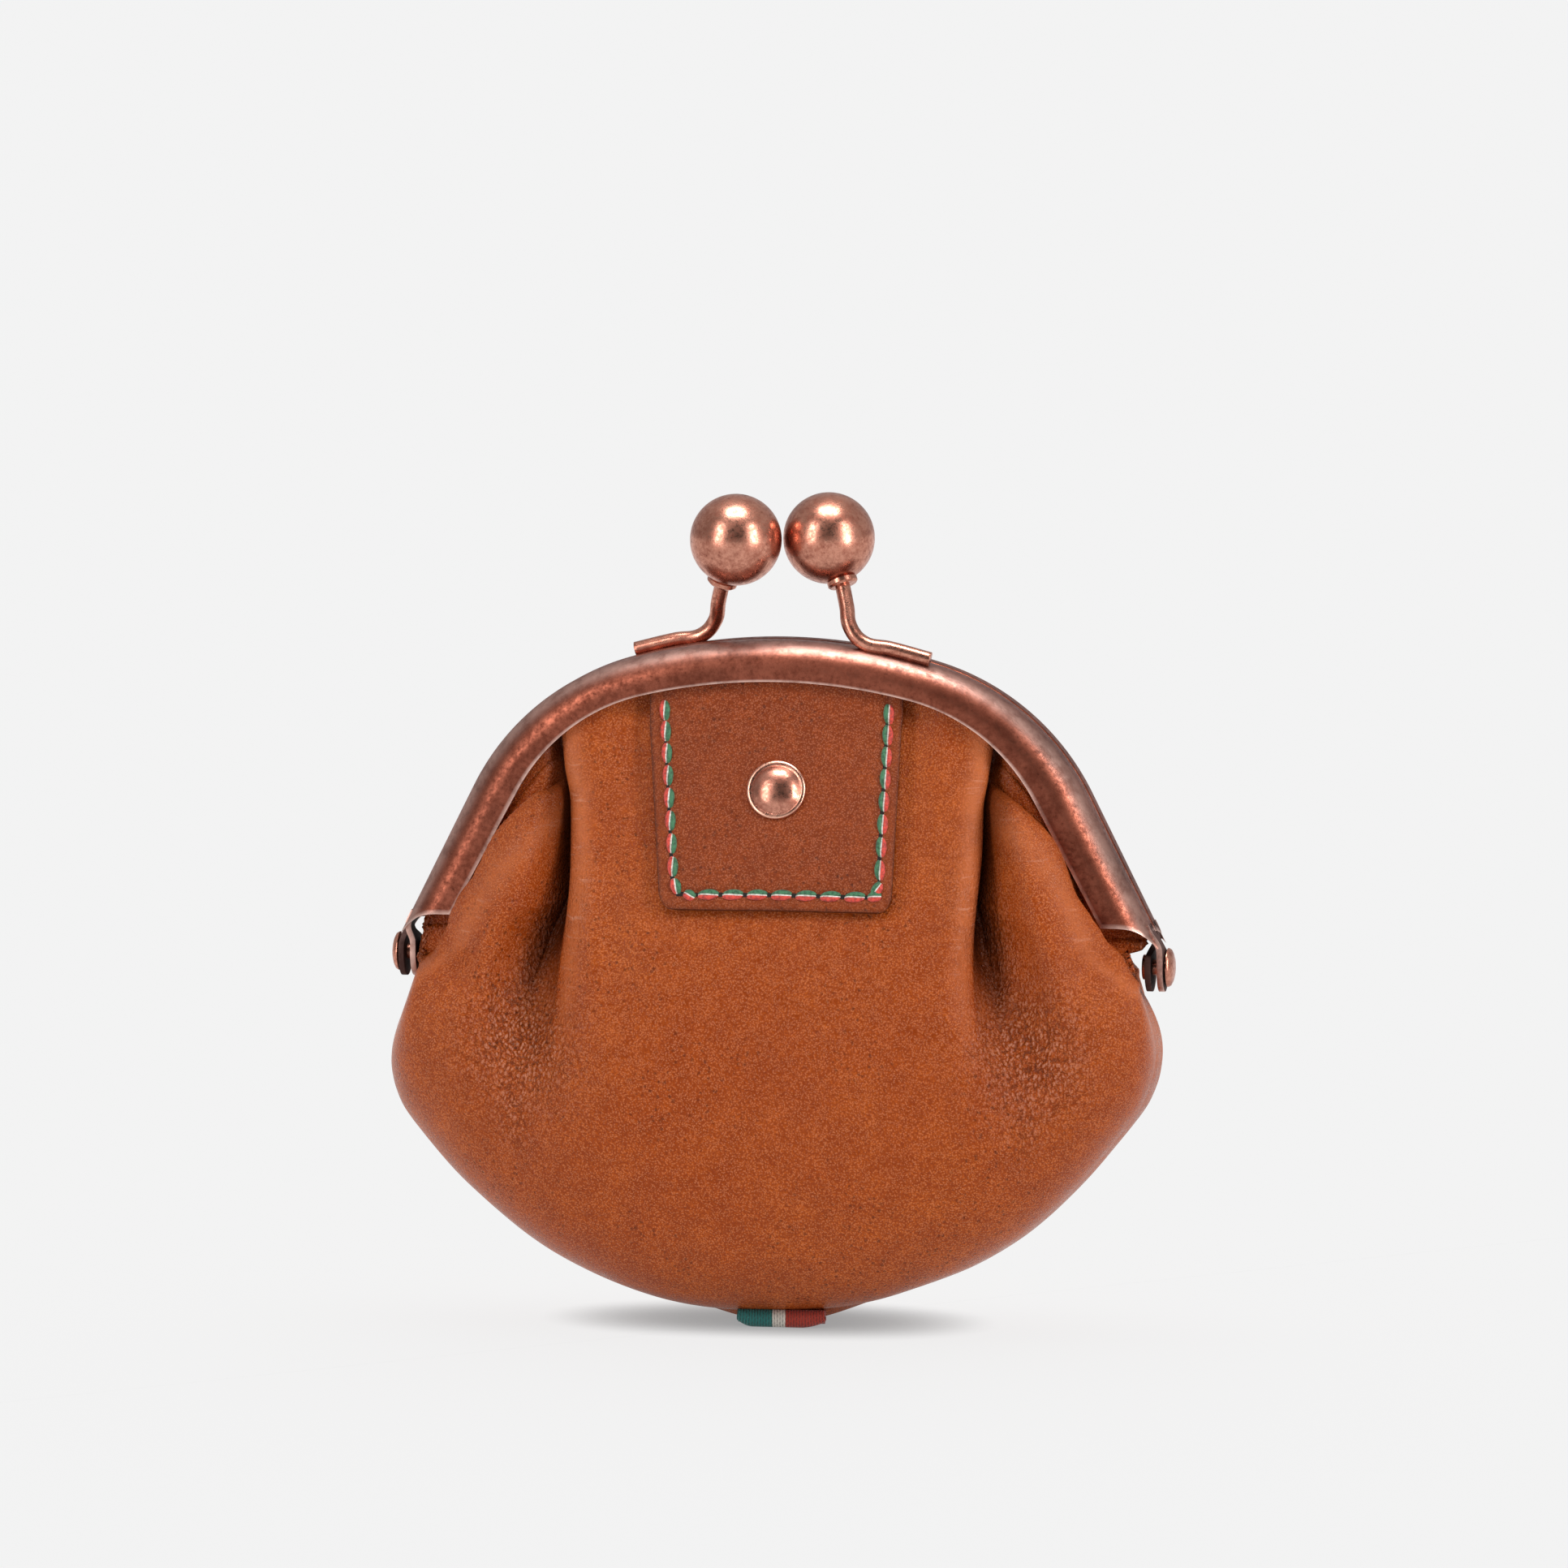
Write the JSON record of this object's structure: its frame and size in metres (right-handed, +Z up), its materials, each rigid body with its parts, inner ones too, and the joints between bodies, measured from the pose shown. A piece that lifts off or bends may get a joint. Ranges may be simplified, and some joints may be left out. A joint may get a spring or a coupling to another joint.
{
  "type": "frame coin purse",
  "caption": "Closed leather coin purse with a pleated round pouch, a hinged arched metal frame, a ball clasp, a stitched front tab with a round stud and a striped ribbon tag.",
  "frame": {"origin": "on the ground under the middle of the purse", "axes": "+Z up, -Y towards the front with the tab, +X to the right as seen from the front"},
  "size_m": [0.1014, 0.0328, 0.1063],
  "materials": {
    "copper": "antique copper plating, brushed and darkened",
    "leather": "tan grained leather, softly glossy",
    "tab_leather": "darker smooth leather with a burnished edge",
    "ribbon": "woven ribbon striped in green, cream and red"
  },
  "bodies": {
    "root": {"frame_front": "copper", "frame_back": "copper", "rivet_right": "copper", "rivet_left": "copper", "pouch_front": "leather", "pouch_back": "leather", "tab": "tab_leather", "stud": "copper", "ribbon": "ribbon"}
  },
  "joints": []
}
